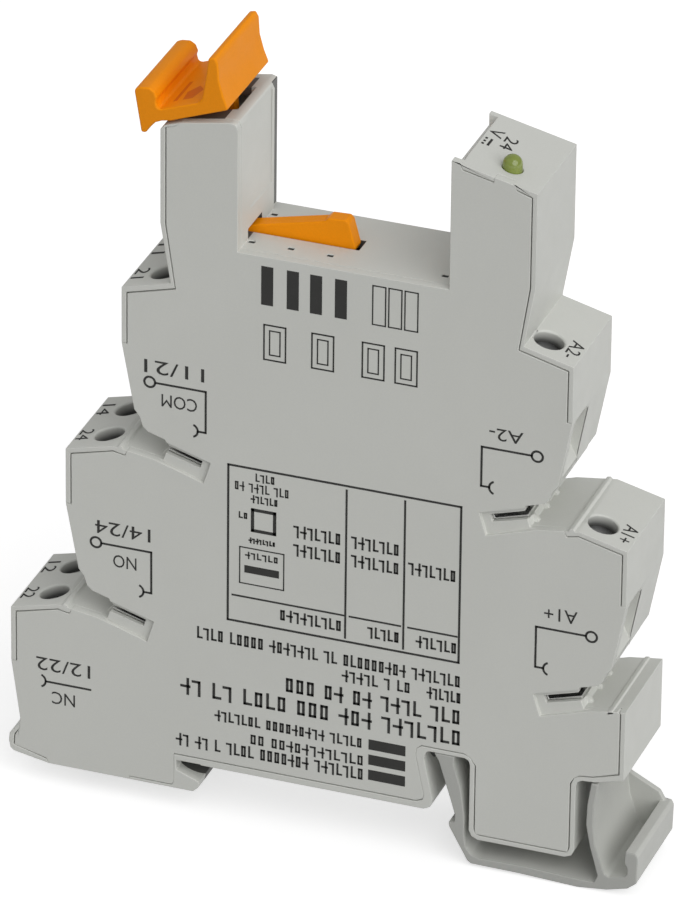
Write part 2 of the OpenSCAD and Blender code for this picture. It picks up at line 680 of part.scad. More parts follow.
contact_x = [pin_x - 2 * pin_pitch, pin_x - pin_pitch, pin_x];
com_path = function(t) [tab_end(t), [contact_x[1], 60.3], [contact_x[1], fork_z0]];
no_path = function(t) [tab_end(t), [-14, 37.6], [contact_x[0], 45], [contact_x[0], fork_z0]];
nc_path = function(t) [tab_end(t), [-12, 14.5], [contact_x[2], 30], [contact_x[2], fork_z0]];
a1_path = [tab_end(TA1), [20, 38.5], [coil_x, 46], [coil_x, fork_z0]];
a2_path = [tab_end(TA2), [coil_x, 60.2], [coil_x, fork_z0]];

// ---------------------------------------------------------------- assembly

housing();
front_cover();
center_partition();
rail_foot();
retaining_lever();
lever_pin();
ejector_lever();
ejector_pin();
ejector_link();
light_guide();
lamp();
circuit_board();
rectifier();
resistors();
clamp_screw(T11);  // screw_11
clamp_screw(T21);  // screw_21
clamp_screw(T14);  // screw_14
clamp_screw(T24);  // screw_24
clamp_screw(T12);  // screw_12
clamp_screw(T22);  // screw_22
clamp_screw(TA1);  // screw_a1
clamp_screw(TA2);  // screw_a2
clamp_cage(T11);  // cage_11
clamp_cage(T21);  // cage_21
clamp_cage(T14);  // cage_14
clamp_cage(T24);  // cage_24
clamp_cage(T12);  // cage_12
clamp_cage(T22);  // cage_22
clamp_cage(TA1);  // cage_a1
clamp_cage(TA2);  // cage_a2
busbar(T11, 3.9, com_path(T11));  // busbar_11
busbar(T21, 3.9, com_path(T21));  // busbar_21
busbar(T14, 2.1, no_path(T14));  // busbar_14
busbar(T24, 2.1, no_path(T24));  // busbar_24
busbar(T12, 3, nc_path(T12));  // busbar_12
busbar(T22, 3, nc_path(T22));  // busbar_22
busbar(TA1, 2.1, a1_path);  // busbar_a1
busbar(TA2, 3.9, a2_path);  // busbar_a2
relay_contact(contact_x[1], 1, 3.2);  // contact_11
relay_contact(contact_x[1], -1, 3.2);  // contact_21
relay_contact(contact_x[0], 1, 1.5);  // contact_14
relay_contact(contact_x[0], -1, 1.5);  // contact_24
relay_contact(contact_x[2], 1, 2.5);  // contact_12
relay_contact(contact_x[2], -1, 2.5);  // contact_22
relay_contact(coil_x, 1, -2.5);  // contact_a1
relay_contact(coil_x, -1, 3.2);  // contact_a2
bridge_contact([-1, 1]);  // bridge_contact_11
bridge_contact([-1, 2]);  // bridge_contact_14
bridge_contact([1, 2]);  // bridge_contact_a1
bridge_contact([1, 1]);  // bridge_contact_a2
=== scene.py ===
"""Looks of a plug-in relay socket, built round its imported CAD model.

Lengths are in metres, and mm() turns millimetres into them. X runs along the socket, Y across it and Z up.
"""

import json
import math

import bpy
from mathutils import Matrix, Vector


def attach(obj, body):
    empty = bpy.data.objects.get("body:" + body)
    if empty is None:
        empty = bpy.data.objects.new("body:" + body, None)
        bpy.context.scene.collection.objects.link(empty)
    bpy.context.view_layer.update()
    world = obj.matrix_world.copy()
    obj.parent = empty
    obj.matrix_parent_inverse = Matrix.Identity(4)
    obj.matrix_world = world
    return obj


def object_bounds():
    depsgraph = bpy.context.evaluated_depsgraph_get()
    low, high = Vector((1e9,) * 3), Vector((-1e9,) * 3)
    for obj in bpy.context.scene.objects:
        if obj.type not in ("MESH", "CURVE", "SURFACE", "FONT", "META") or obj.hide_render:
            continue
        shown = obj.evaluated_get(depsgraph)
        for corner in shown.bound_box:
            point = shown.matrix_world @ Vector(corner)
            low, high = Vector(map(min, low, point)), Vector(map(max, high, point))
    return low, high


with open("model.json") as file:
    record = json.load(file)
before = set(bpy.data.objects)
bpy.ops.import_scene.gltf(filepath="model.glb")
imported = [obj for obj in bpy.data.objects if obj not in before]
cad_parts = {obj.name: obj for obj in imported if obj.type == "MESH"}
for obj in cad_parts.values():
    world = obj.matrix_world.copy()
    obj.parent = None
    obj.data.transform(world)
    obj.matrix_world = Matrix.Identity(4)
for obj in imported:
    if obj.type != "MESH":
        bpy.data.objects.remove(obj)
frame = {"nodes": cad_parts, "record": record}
nodes = frame["nodes"]
cad_low, cad_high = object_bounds()


def mm(*values):
    """Millimetres as metres: one number, or a point."""
    scaled = [v * 0.001 for v in values]
    return scaled[0] if len(scaled) == 1 else Vector(scaled)


# ---------------------------------------------------------------- materials


class Material:
    """A Principled material with a few short calls to add nodes."""

    def __init__(self, name, **sockets):
        self.made = bpy.data.materials.new(name)
        self.made.use_nodes = True
        self.tree = self.made.node_tree
        self.shader = self.tree.nodes["Principled BSDF"]
        for socket, value in sockets.items():
            self.shader.inputs[socket.replace("_", " ")].default_value = value
        self.place = self.add("ShaderNodeTexCoord").outputs["Object"]

    def add(self, kind, **settings):
        node = self.tree.nodes.new(kind)
        for name, value in settings.items():
            setattr(node, name, value)
        return node

    def link(self, output, target):
        self.tree.links.new(output, target)

    def noise(self, size, detail=2.0, stretch=(1, 1, 1), distortion=0.0):
        """Noise whose features are about size millimetres across."""
        mapping = self.add("ShaderNodeMapping")
        mapping.inputs["Scale"].default_value = [1000 / size / s for s in stretch]
        self.link(self.place, mapping.inputs["Vector"])
        node = self.add("ShaderNodeTexNoise")
        node.inputs["Scale"].default_value = 1
        node.inputs["Detail"].default_value = detail
        node.inputs["Distortion"].default_value = distortion
        self.link(mapping.outputs["Vector"], node.inputs["Vector"])
        return node.outputs["Fac"]

    def ramp(self, source, *stops):
        """Colours or greys by the value of source; stops are (position, value)."""
        node = self.add("ShaderNodeValToRGB")
        elements = node.color_ramp.elements
        while len(elements) < len(stops):
            elements.new(0.5)
        for element, (position, value) in zip(elements, stops):
            element.position = position
            element.color = (*value, 1) if hasattr(value, "__len__") else (value, value, value, 1)
        self.link(source, node.inputs["Fac"])
        return node.outputs["Color"]

    def multiply(self, first, second):
        node = self.add("ShaderNodeMix", data_type="RGBA", blend_type="MULTIPLY")
        node.inputs["Factor"].default_value = 1
        self.link(first, node.inputs["A"])
        self.link(second, node.inputs["B"])
        return node.outputs["Result"]

    def vector(self, operation, first, second=None, output="Vector"):
        node = self.add("ShaderNodeVectorMath", operation=operation)
        for i, value in enumerate((first, second)):
            if hasattr(value, "is_linked"):
                self.link(value, node.inputs[i])
            elif value is not None:
                node.inputs[i].default_value = value
        return node.outputs[output]

    def math(self, operation, *values):
        node = self.add("ShaderNodeMath", operation=operation)
        for i, value in enumerate(values):
            if hasattr(value, "is_linked"):
                self.link(value, node.inputs[i])
            else:
                node.inputs[i].default_value = value
        return node.outputs["Value"]

    def inside(self, low, high):
        """1 where the place lies inside a box given in millimetres, 0 elsewhere."""
        split = self.add("ShaderNodeSeparateXYZ")
        self.link(self.place, split.inputs["Vector"])
        tests = []
        for axis, a, b in zip("XYZ", low, high):
            tests.append(self.math("COMPARE", split.outputs[axis], mm((a + b) / 2), mm((b - a) / 2)))
        return self.math("MULTIPLY", self.math("MULTIPLY", tests[0], tests[1]), tests[2])

    def darken(self, colour, mask, amount):
        """Takes colour down by amount where mask is 1."""
        level = self.ramp(mask, (0.0, 1.0), (1.0, 1 - amount))
        return self.multiply(colour, level)

    def bump(self, source, strength, depth):
        """Relief of depth millimetres."""
        node = self.add("ShaderNodeBump")
        node.inputs["Strength"].default_value = strength
        node.inputs["Distance"].default_value = mm(depth)
        self.link(source, node.inputs["Height"])
        self.link(node.outputs["Normal"], self.shader.inputs["Normal"])

    def colour(self, output):
        self.link(output, self.shader.inputs["Base Color"])

    def roughness(self, output):
        self.link(output, self.shader.inputs["Roughness"])


def shade(colour, factor):
    return tuple(min(1, c * factor) for c in colour)


# The terminals stand in tiers on both sides of SYM_X. The top tier's edge is TIER_X from there and TIER_Z
# up, and each further tier is TIER_STEP out and TIER_DROP down. A tier falls outwards by TILT, its screws lie
# SCREW_IN from its edge, and the two poles are POLE_Y from the middle.
TILT = math.radians(14.5)
SYM_X, TIER_X, TIER_Z, TIER_STEP, TIER_DROP, SCREW_IN, POLE_Y = 3.3, 28.2, 63.3, 7.2, 23.1, 4.25, 3.4
BOTTOM_TIER = 2
HOLE_R = 2.05
# Boxes in millimetres where painted shade goes: under the bay floor's pin slots, the ejector's window in the
# tower, under the lever and the rebate at the tower's rear corner.
BAY_FLOOR = ((-10.25, -4.4, 68), (15.9, 4.4, 70.48))
TOWER_SLOT = ((-12.5, -3.35, 66), (-10.36, 1.4, 73))
UNDER_LEVER = ((-19.9, -5.75, 80), (-12.4, 5.9, 87.1))
TOWER_CORNER = ((-10.7, 5.2, 70.7), (-10.35, 6.9, 88))
# The front faces, which the foot's material darkens as painted shade.
FRONT_FACES = ((-45, -7.2, -10), (45, -6.85, 100))


def tier_point(tier, inwards):
    """Distance from SYM_X and height of the place that lies inwards from a tier's edge."""
    return TIER_X + TIER_STEP * tier - inwards, TIER_Z - TIER_DROP * tier + inwards * math.tan(TILT)


def hollows(m):
    """Mask of the places that little light reaches: screw holes, pin and ejector slots, under the lever."""
    split, fold = m.add("ShaderNodeSeparateXYZ"), m.add("ShaderNodeCombineXYZ")
    m.link(m.place, split.inputs["Vector"])
    m.link(m.math("ABSOLUTE", m.math("SUBTRACT", split.outputs["X"], mm(SYM_X))), fold.inputs["X"])
    m.link(m.math("SUBTRACT", m.math("ABSOLUTE", split.outputs["Y"]), mm(POLE_Y)), fold.inputs["Y"])
    m.link(split.outputs["Z"], fold.inputs["Z"])
    axis = (math.sin(TILT), 0, math.cos(TILT))
    total = None
    for tier in range(BOTTOM_TIER + 1):
        x, z = tier_point(tier, SCREW_IN)
        offset = m.vector("SUBTRACT", fold.outputs["Vector"], mm(x, 0, z))
        depth = m.vector("DOT_PRODUCT", offset, axis, "Value")
        radius = m.vector("LENGTH", m.vector("CROSS_PRODUCT", offset, axis), output="Value")
        near = m.math("LESS_THAN", radius, mm(HOLE_R))
        deep = m.add("ShaderNodeMapRange")
        deep.inputs["From Min"].default_value, deep.inputs["From Max"].default_value = mm(-0.1), mm(-1.3)
        m.link(depth, deep.inputs["Value"])
        hole = m.math("MULTIPLY", near, deep.outputs["Result"])
        if tier == BOTTOM_TIER:  # this tier has terminals on the left only
            hole = m.math("MULTIPLY", hole, m.math("LESS_THAN", split.outputs["X"], 0))
        total = hole if total is None else m.math("MAXIMUM", total, hole)
    for box in (BAY_FLOOR, TOWER_SLOT, UNDER_LEVER, TOWER_CORNER):
        total = m.math("MAXIMUM", total, m.inside(*box))
    return total


def moulded(name, colour, rough=0.5, specular=0.5, contrast=0.02, grain=0.35, shaded=0.0, front=0.0):
    """Moulded plastic with faint clouds of tone, a fine grain and uneven sheen.

    shaded paints shade into the hollows, darkening them by that share, and front paints shade onto the front
    faces by its share.
    """
    m = Material(name, Specular_IOR_Level=specular)
    dark, pale = shade(colour, 1 - contrast), shade(colour, 1 + contrast)
    clouds = m.ramp(m.noise(14, 3, (1, 1, 1.6), 0.4), (0.25, dark), (0.75, pale))
    speckle = m.ramp(m.noise(0.22, 4), (0.3, 1 - contrast * 1.3), (0.72, 1.0))
    paint = m.multiply(clouds, speckle)
    # Painted shade: the hollows, and the front faces, are darkened by their shares.
    if shaded:
        paint = m.darken(paint, hollows(m), shaded)
    if front:
        paint = m.darken(paint, m.inside(*FRONT_FACES), front)
    m.colour(paint)
    m.roughness(m.ramp(m.noise(2.4, 4), (0.3, rough - 0.05), (0.7, rough + 0.06)))
    m.bump(m.noise(grain, 3), 0.22, 0.012)
    return m.made


def metal(name, colour, rough, streak=(1, 1, 1)):
    """Plated or punched metal with drawn streaks and a little tarnish."""
    size, dull = 0.6, 0.82
    m = Material(name, Metallic=1.0)
    m.colour(m.ramp(m.noise(size * 2.5, 4, streak, 0.6), (0.3, shade(colour, dull)), (0.7, colour)))
    m.roughness(m.ramp(m.noise(size, 5, streak), (0.25, rough * 0.7), (0.75, rough * 1.3)))
    m.bump(m.noise(size * 0.3, 3, streak), 0.3, 0.008)
    return m.made


GREY = (0.615, 0.622, 0.585)
# Painted shade: hollows() darkens the screw holes, slots, the place under the lever and the tower's rear
# rebate by 86 per cent.
housing_plastic = moulded("housing_plastic", GREY, shaded=0.86)
# Painted shade: the foot's grey is taken down to 0.84 for the shade of the rail and the floor, and its front
# faces are darkened by a further 22 per cent.
foot_plastic_shaded = moulded("foot_plastic_shaded", shade(GREY, 0.84), front=0.22)
cover_plastic = moulded("cover_plastic", shade(GREY, 0.995), rough=0.52)
inner_plastic = moulded("inner_plastic", shade(GREY, 1.05), rough=0.55)
ORANGE = (0.93, 0.3, 0.004)
lever_plastic = moulded("lever_plastic", ORANGE, rough=0.45, specular=0.09, contrast=0.04, grain=0.6)
zinc_steel = metal("zinc_steel", (0.4, 0.4, 0.41), 0.34)
copper_strip = metal("copper_strip", (0.86, 0.47, 0.27), 0.3, streak=(4, 1, 1))
tinned_bronze = metal("tinned_bronze", (0.86, 0.86, 0.85), 0.24, streak=(4, 1, 1))


def clear_plastic():
    """Olive lens: tinted, a little cloudy, glossy."""
    m = Material("lens_plastic", Roughness=0.14, IOR=1.49, Transmission_Weight=0.25, Coat_Weight=0.4)
    m.colour(m.ramp(m.noise(1.3, 3), (0.3, (0.225, 0.29, 0.045)), (0.7, (0.3, 0.37, 0.07))))
    m.bump(m.noise(0.5, 2), 0.08, 0.01)
    return m.made


def cast_epoxy():
    """Pale, slightly milky body of the lamp."""
    m = Material("lamp_epoxy", Roughness=0.2, IOR=1.52, Transmission_Weight=0.2)
    m.colour(m.ramp(m.noise(0.6, 3), (0.3, (0.72, 0.72, 0.62)), (0.7, (0.8, 0.8, 0.7))))
    return m.made


def laminate():
    """Solder resist over glass weave."""
    m = Material("board_laminate", Specular_IOR_Level=0.5)
    m.colour(m.ramp(m.noise(0.35, 4, (1, 1, 3)), (0.3, (0.02, 0.09, 0.035)), (0.7, (0.035, 0.14, 0.055))))
    m.roughness(m.ramp(m.noise(0.8, 3), (0.3, 0.28), (0.7, 0.4)))
    m.bump(m.noise(0.3, 2, (1, 1, 4)), 0.2, 0.01)
    return m.made


chip_black = moulded("chip_black", (0.018, 0.018, 0.02), rough=0.55, contrast=0.12, grain=0.15)
LOOKS = {
    "housing_plastic": housing_plastic, "cover_plastic": cover_plastic, "inner_plastic": inner_plastic,
    "lever_plastic": lever_plastic, "zinc_steel": zinc_steel, "copper_strip": copper_strip,
    "tinned_bronze": tinned_bronze, "lens_plastic": clear_plastic(), "lamp_epoxy": cast_epoxy(),
    "board_laminate": laminate(), "chip_black": chip_black,
}
for part in frame["record"]["subparts"]:
    mesh = nodes[part["node"]].data
    mesh.materials.clear()
    mesh.materials.append(foot_plastic_shaded if part["node"] == "rail_foot" else LOOKS[part["material_slot"]])


# ---------------------------------------------------------------- softened edges of the CAD nodes


def edge_marker():
    """Geometry nodes that smooth the shading and mark each real edge for the bevel."""
    group = bpy.data.node_groups.new("mark_edges", "GeometryNodeTree")
    group.interface.new_socket("Geometry", in_out="INPUT", socket_type="NodeSocketGeometry")
    group.interface.new_socket("Geometry", in_out="OUTPUT", socket_type="NodeSocketGeometry")
    add, link = group.nodes.new, group.links.new
    source, result = add("NodeGroupInput"), add("NodeGroupOutput")
    smooth = add("GeometryNodeSetShadeSmooth")
    angle, ends = add("GeometryNodeInputMeshEdgeAngle"), add("GeometryNodeInputMeshEdgeVertices")
    span = add("ShaderNodeVectorMath")
    span.operation = "DISTANCE"
    link(ends.outputs["Position 1"], span.inputs[0])
    link(ends.outputs["Position 2"], span.inputs[1])
    tests = []
    sharp, shortest = math.radians(28), mm(0.03)
    for value, limit in ((angle.outputs["Unsigned Angle"], sharp), (span.outputs["Value"], shortest)):
        test = add("ShaderNodeMath")
        test.operation = "GREATER_THAN"
        test.inputs[1].default_value = limit
        link(value, test.inputs[0])
        tests.append(test)
    both = add("ShaderNodeMath")
    both.operation = "MULTIPLY"
    for i, test in enumerate(tests):
        link(test.outputs["Value"], both.inputs[i])
    store = add("GeometryNodeStoreNamedAttribute")
    store.data_type, store.domain = "FLOAT", "EDGE"
    store.inputs["Name"].default_value = "bevel_weight_edge"
    link(source.outputs["Geometry"], smooth.inputs["Geometry"])
    link(smooth.outputs["Geometry"], store.inputs["Geometry"])
    link(both.outputs["Value"], store.inputs["Value"])
    link(store.outputs["Geometry"], result.inputs["Geometry"])
    return group


def face_flattener():
    """Geometry nodes that keep broad flat faces flat, so that long triangles in them don't show."""
    group = bpy.data.node_groups.new("flatten_faces", "GeometryNodeTree")
    group.interface.new_socket("Geometry", in_out="INPUT", socket_type="NodeSocketGeometry")
    group.interface.new_socket("Geometry", in_out="OUTPUT", socket_type="NodeSocketGeometry")
    add, link = group.nodes.new, group.links.new
    source, result, area = add("NodeGroupInput"), add("NodeGroupOutput"), add("GeometryNodeInputMeshFaceArea")
    broad, flat = add("ShaderNodeMath"), add("GeometryNodeSetShadeSmooth")
    broad.operation = "GREATER_THAN"
    broad.inputs[1].default_value = mm(80) * mm(1)
    flat.inputs["Shade Smooth"].default_value = False
    link(area.outputs["Area"], broad.inputs[0])
    link(source.outputs["Geometry"], flat.inputs["Geometry"])
    link(broad.outputs["Value"], flat.inputs["Selection"])
    link(flat.outputs["Geometry"], result.inputs["Geometry"])
    return group


MARK_EDGES = edge_marker()
FLATTEN = face_flattener()


def soften(obj, radius):
    """Rounds the real edges of a flat-faced mesh by radius millimetres."""
    obj.modifiers.new("weld", "WELD").merge_threshold = mm(0.001)
    flat = obj.modifiers.new("flat", "DECIMATE")
    flat.decimate_type, flat.angle_limit = "DISSOLVE", math.radians(0.8)
    obj.modifiers.new("mark", "NODES").node_group = MARK_EDGES
    bevel = obj.modifiers.new("bevel", "BEVEL")
    bevel.limit_method, bevel.width, bevel.segments = "WEIGHT", mm(radius), 2
    bevel.use_clamp_overlap = False
    bevel.miter_outer = "MITER_ARC"
    obj.modifiers.new("flatten", "NODES").node_group = FLATTEN
    shading = obj.modifiers.new("shading", "WEIGHTED_NORMAL")
    shading.keep_sharp = False


EDGES = {
    "housing": 0.08, "front_cover": 0.08, "retaining_lever": 0.22, "ejector_lever": 0.18, "rail_foot": 0.15,
}
INNER_EDGE = 0.04
for name, node in nodes.items():
    soften(node, EDGES.get(name, INNER_EDGE))


# ---------------------------------------------------------------- printing

FRONT_Y = -7.0
INK_T = 0.02
ink = moulded("printing_ink", (0.024, 0.024, 0.022), rough=0.6, specular=0.3, contrast=0.1, grain=0.12)


class Print:
    """Ink shapes on one plane, drawn in millimetres with u to the right and v up as the print reads."""

    def __init__(self, origin, right, up):
        self.origin, self.right, self.up = Vector(origin), Vector(right).normalized(), Vector(up).normalized()
        self.points, self.faces = [], []

    def add(self, points, faces):
        start = len(self.points)
        self.points += [tuple(p) for p in points]
        self.faces += [tuple(start + i for i in face) for face in faces]

    def bar(self, u0, v0, u1, v1):
        self.add([(u0, v0), (u1, v0), (u1, v1), (u0, v1)], [(0, 1, 2, 3)])

    def line(self, path, width=0.22):
        """Strokes along a path, each one lengthened by half its width."""
        for start, end in zip(path, path[1:]):
            a, b = Vector(start), Vector(end)
            along = (b - a).normalized() * width / 2
            side = Vector((-along.y, along.x))
            a, b = a - along, b + along
            self.add([a - side, b - side, b + side, a + side], [(0, 1, 2, 3)])

    def frame(self, u0, v0, u1, v1, width=0.2):
        self.line([(u0, v0), (u1, v0), (u1, v1), (u0, v1), (u0, v0)], width)

    def arc(self, u, v, radius, start=0, end=360, width=0.22, steps=40):
        """Arc from start to end degrees, anticlockwise."""
        outline = []
        for i in range(steps + 1):
            angle = math.radians(start + (end - start) * i / steps)
            for r in (radius - width / 2, radius + width / 2):
                outline.append((u + r * math.cos(angle), v + r * math.sin(angle)))
        self.add(outline, [(2 * i, 2 * i + 1, 2 * i + 3, 2 * i + 2) for i in range(steps)])

    def text(self, words, u0, v0, u1, v1):
        """Terminal marking scaled to fill a box."""
        curve = bpy.data.curves.new("words", "FONT")
        curve.body, curve.resolution_u = words, 3
        holder = bpy.data.objects.new("words", curve)
        bpy.context.scene.collection.objects.link(holder)
        bpy.context.view_layer.update()
        mesh = bpy.data.meshes.new_from_object(holder.evaluated_get(bpy.context.evaluated_depsgraph_get()))
        bpy.data.objects.remove(holder)
        bpy.data.curves.remove(curve)
        us, vs = [p.co.x for p in mesh.vertices], [p.co.y for p in mesh.vertices]
        grow_u, grow_v = (u1 - u0) / (max(us) - min(us)), (v1 - v0) / (max(vs) - min(vs))
        self.add(
            [(u0 + (a - min(us)) * grow_u, v0 + (b - min(vs)) * grow_v) for a, b in zip(us, vs)],
            [tuple(face.vertices) for face in mesh.polygons],
        )
        bpy.data.meshes.remove(mesh)

    def blocks(self, counts, u0, v0, u1, v1, width=0.17):
        """Words without letters: each character is a plain stroke figure."""
        cell = (u1 - u0) / (sum(counts) + 0.7 * (len(counts) - 1))
        height, at, turn = v1 - v0, u0, 0
        for count in counts:
            for _ in range(count):
                a, b = at + cell * 0.12, at + cell * 0.78
                left, right, low, high = a + width / 2, b - width / 2, v0 + width / 2, v1 - width / 2
                kind = (turn * 7 + turn // 3) % 5
                if kind in (0, 3):
                    self.frame(left, low, right, high, width)
                elif kind == 1:
                    self.line([(left, v0), (left, v1)], width)
                    self.line([(a, v0 + height * 0.5), (b, v0 + height * 0.5)], width)
                elif kind == 2:
                    self.line([(a, high), (right, high), (right, v0)], width)
                else:
                    self.line([(left, v1), (left, low), (b, low)], width)
                at += cell
                turn += 1
            at += cell * 0.7

    def finish(self, name, body, material=ink, rise=0.0):
        """Makes the drawn shapes into one thin piece that rides on body, rise millimetres off the plane."""
        normal = self.right.cross(self.up)
        base = self.origin + normal * rise
        mesh = bpy.data.meshes.new(name)
        mesh.from_pydata([mm(*(base + self.right * u + self.up * v)) for u, v in self.points], [], self.faces)
        mesh.materials.append(material)
        piece = bpy.data.objects.new(name, mesh)
        bpy.context.scene.collection.objects.link(piece)
        thick = piece.modifiers.new("thick", "SOLIDIFY")
        thick.thickness, thick.offset = mm(INK_T), 1
        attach(piece, body)


def front_print():
    """A print on the front cover; it reads upside down, as on the real socket."""
    return Print((0, FRONT_Y, 0), (-1, 0, 0), (0, 0, -1))


def front_box(x0, z0, x1, z1):
    """Box given in the part's X and Z, as the print's u and v."""
    return -x1, -z1, -x0, -z0


def flip(points):
    """Points given in the part's X and Z, as the print's u and v."""
    return [(-x, -z) for x, z in points]


RING_R, FORK_R, LEAD = 0.68, 0.85, 0.27


def contact_symbol(sheet, ring, corner_x, foot_z, side):
    """Terminal ring, its lead and the open fork of a contact; side is -1 where the fork points to -X."""
    x, z = ring
    sheet.arc(-x, -z, RING_R, width=0.28)
    start = x + math.copysign(0.72, corner_x - x)
    end = corner_x + side * 1.0
    sheet.line(flip([(start, z), (corner_x, z), (corner_x, foot_z), (end, foot_z)]), LEAD)
    fork(sheet, end, foot_z, side)


def fork(sheet, x, z, side):
    """Open fork at the end of a lead that stops at x, z."""
    first, last = (-70, 70) if side > 0 else (110, 250)
    sheet.arc(-(x + side * FORK_R), -z, FORK_R, first, last, width=LEAD, steps=12)


def terminal_marks():
    """Contact symbols with their terminal numbers and contact names."""
    sheet = front_print()
    contact_symbol(sheet, (-21.3, 51.3), -14.2, 45.8, -1)
    contact_symbol(sheet, (-28.2, 28.2), -21.1, 22.6, -1)
    contact_symbol(sheet, (27.27, 50.73), 20.4, 45.5, 1)
    contact_symbol(sheet, (34.5, 27.96), 27.6, 22.5, 1)
    sheet.line(flip([(-34.8, 7.6), (-29, 7.6)]), LEAD)
    fork(sheet, -34.8, 7.6, -1)
    for words, box in (
        ("11/21", (-22, 52.5, -14.4, 54.3)), ("COM", (-19.8, 48.3, -15.3, 50)),
        ("14/24", (-28.3, 29.5, -21.2, 31.3)), ("NO", (-26, 25.3, -23, 27)),
        ("12/22", (-36, 9.1, -29, 10.9)), ("NC", (-34, 4.7, -31, 6.4)),
        ("A2-", (21.28, 51.9, 25.51, 53.5)), ("A1+", (28.56, 29.2, 32.71, 30.9)),
    ):
        sheet.text(words, *front_box(*box))
    sheet.finish("terminal_marks_front", "socket")


def order_table():
    """Ruled table with plain figures in place of order numbers, and two plain boxes."""
    sheet = front_print()
    left, right, low, high, rule, columns = -11.3, 18, 21.05, 42.15, 24.55, (3.65, 11.0)
    sheet.frame(*front_box(left, low, right, high), 0.28)
    for x in columns:
        sheet.line(flip([(x, 21.55), (x, 41.55)]), 0.26)
    for x0, x1 in ((-10.7, 3.4), (4.2, 10.6), (11.6, 17.7)):
        sheet.line(flip([(x0, rule), (x1, rule)]), 0.24)
    for counts, box in (
        ([9], (-4.8, 22.3, 3.2, 23.7)), ([5], (6.4, 22.2, 10.5, 23.6)), ([6], (12.5, 22.2, 17.75, 23.6)),
        ([7], (-3.1, 31.5, 3, 33)), ([7], (-3.1, 34.0, 3, 35.5)),
        ([7], (4.2, 31.5, 10.35, 33)), ([7], (4.2, 34, 10.35, 35.5)), ([7], (11.4, 31.9, 17.5, 33.4)),
    ):
        sheet.blocks(counts, *front_box(*box), 0.26)
    for counts, box in (
        ([4], (-8, 40.5, -5.4, 41.5)), ([3, 4, 2], (-10.6, 39, -3.6, 40.1)), ([6], (-8.5, 37.6, -5, 38.5)),
        ([2], (-10.1, 35.2, -8.8, 36)), ([8], (-8.7, 32.1, -5.3, 32.7)), ([6], (-9.2, 29.9, -4.9, 30.7)),
    ):
        sheet.blocks(counts, *front_box(*box), 0.19)
    sheet.frame(*front_box(-8.2, 33.8, -5.4, 36.6), 0.42)
    sheet.frame(*front_box(-9.8, 26.4, -4.2, 31.3), 0.16)
    sheet.bar(*front_box(-9.2, 27.9, -4.8, 28.9))
    sheet.finish("order_table", "socket")


def text_lines():
    """Rows of plain figures under the table, and a stack of bars beside them."""
    sheet = front_print()
    for counts, box, width in (
        ([7, 9, 2, 7, 5, 4], (-15.4, 17.7, 18.3, 19.2), 0.26), ([2, 1, 5], (3.2, 15.6, 12, 17), 0.26),
        ([6], (14, 15.5, 18.4, 16.9), 0.26), ([3, 4, 2, 2, 3], (-4.1, 12.6, 18.4, 14.5), 0.34),
        ([7, 3, 3, 4, 2, 2], (-17.5, 9.7, 18.5, 11.7), 0.35), ([5, 9, 7], (-13, 6.8, 6, 8.1), 0.25),
        ([12, 2], (-8.5, 4.4, 6.2, 5.7), 0.25), ([7, 7, 4, 1, 2, 2], (-18, 2.4, 6.2, 3.9), 0.26),
    ):
        sheet.blocks(counts, *front_box(*box), width)
    for z in (2.6, 4.7, 6.8):
        sheet.bar(*front_box(6.8, z, 11.5, z + 1.4))
    sheet.finish("text_lines", "socket")


def plain_boxes():
    """Two rows of plain bars and boxes in the places of the printed marks."""
    sheet = front_print()
    low, high = 64.3, 69.4
    for x in (-7.3, -4.1, -1.2, 1.9):
        sheet.bar(*front_box(x, low, x + 1.5, high))
    for x in (6.6, 8.6, 10.6):
        sheet.frame(*front_box(x, low, x + 1.6, high), 0.17)
    for x in (-6.9, -0.9, 5.4, 9.5):
        sheet.frame(*front_box(x, 57.1, x + 2.7, 61.7), 0.2)
        sheet.frame(*front_box(x + 0.7, 57.8, x + 2.0, 61.0), 0.17)
    sheet.finish("plain_boxes", "socket")


terminal_marks()
order_table()
text_lines()
plain_boxes()

MARKS = {
    "11": (-1, 0, 1), "21": (-1, 0, -1), "14": (-1, 1, 1), "24": (-1, 1, -1),
    "12": (-1, 2, 1), "22": (-1, 2, -1), "A1+": (1, 1, -1), "A2-": (1, 0, -1),
}


def tier_marks():
    """Terminal numbers on the tiers, between each hole and the tier's edge."""
    for words, (side, tier, pole) in MARKS.items():
        out, half = (3.25, 1.4) if side < 0 else (3.2, 2)
        x, z = tier_point(tier, SCREW_IN)
        place = (SYM_X + side * (x + out * math.cos(TILT)), pole * POLE_Y, z - out * math.sin(TILT))
        sheet = Print(place, (0, -1, 0), (math.cos(TILT), 0, -side * math.sin(TILT)))
        sheet.text(words, -half, -0.85, half, 0.85)
        sheet.finish("tier_mark_" + words.replace("+", "").replace("-", ""), "socket", rise=0.001)


def rating_mark():
    """Generic rating on top of the right tower."""
    top_z, end_z, length, inwards = 87.4, 84.95, 10.6, 4.25
    fall = (top_z - end_z) / length
    sheet = Print((20.25, 1.3, top_z - fall * inwards), (0, -1, 0), (1, 0, -fall))
    sheet.text("24", -1.5, -0.85, 1.5, 0.75)
    sheet.text("V", -2.1, -2.95, -0.3, -1.25)
    sheet.bar(0.4, -2.2, 2.1, -1.9)
    for u in (0.4, 1.1, 1.8):
        sheet.bar(u, -2.85, u + 0.35, -2.55)
    sheet.finish("rating_mark", "socket", rise=0.001)


tier_marks()
rating_mark()


